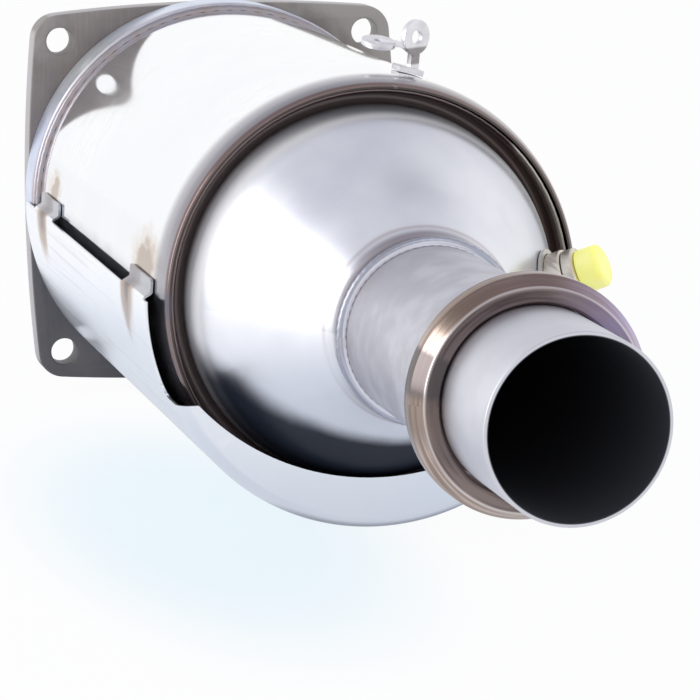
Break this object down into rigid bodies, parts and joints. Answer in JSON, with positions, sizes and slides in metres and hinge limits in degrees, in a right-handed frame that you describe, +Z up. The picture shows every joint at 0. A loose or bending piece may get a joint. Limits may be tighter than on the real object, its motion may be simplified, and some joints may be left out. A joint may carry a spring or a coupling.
{
  "type": "diesel particulate filter",
  "caption": "Polished round exhaust filter can with a square bolted inlet flange, a spun outlet cone and pipe with a joint collar, a capped sensor port and a belly heat shield.",
  "frame": {"origin": "on the floor under the middle of the part's box, with the can's axis level 82.1 mm above it", "axes": "+Y along the can's axis towards the inlet flange, -Y towards the outlet pipe, +Z up through the side opposite the heat shield, +X to the sensor port's side"},
  "size_m": [0.1642, 0.4624, 0.1766],
  "materials": {
    "flange_steel": "dull brown-grey oxidised steel",
    "polished_steel": "mirror-polished stainless steel",
    "satin_steel": "satin stainless steel",
    "tinted_steel": "polished steel tinted bronze by heat",
    "shield_steel": "bright rolled stainless sheet, tinted at its spot welds",
    "weld_metal": "weld bead, tinted brown and blue",
    "plated_steel": "yellow-passivated steel",
    "yellow_plastic": "translucent yellow plastic",
    "filter_ceramic": "dark porous silicon carbide",
    "cement": "grey ceramic cement",
    "mat_fibre": "off-white ceramic fibre",
    "wire_mesh": "knitted stainless wire"
  },
  "bodies": {
    "root": {"inlet_flange": "flange_steel", "inlet_collar": "polished_steel", "inlet_weld": "weld_metal", "can_shell": "polished_steel", "rim_weld": "weld_metal", "outlet_cone": "satin_steel", "neck_weld": "weld_metal", "outlet_pipe": "satin_steel", "joint_collar": "tinted_steel", "collar_weld": "weld_metal", "sensor_boss": "plated_steel", "boss_weld": "weld_metal", "sensor_fitting": "plated_steel", "protective_cap": "yellow_plastic", "bracket": "satin_steel", "heat_shield": "shield_steel", "filter_segment_11": "filter_ceramic", "filter_segment_12": "filter_ceramic", "filter_segment_13": "filter_ceramic", "filter_segment_14": "filter_ceramic", "filter_segment_21": "filter_ceramic", "filter_segment_22": "filter_ceramic", "filter_segment_23": "filter_ceramic", "filter_segment_24": "filter_ceramic", "filter_segment_31": "filter_ceramic", "filter_segment_32": "filter_ceramic", "filter_segment_33": "filter_ceramic", "filter_segment_34": "filter_ceramic", "filter_segment_41": "filter_ceramic", "filter_segment_42": "filter_ceramic", "filter_segment_43": "filter_ceramic", "filter_segment_44": "filter_ceramic", "segment_cement": "cement", "support_mat": "mat_fibre", "inlet_seal": "wire_mesh", "outlet_seal": "wire_mesh"}
  },
  "joints": []
}
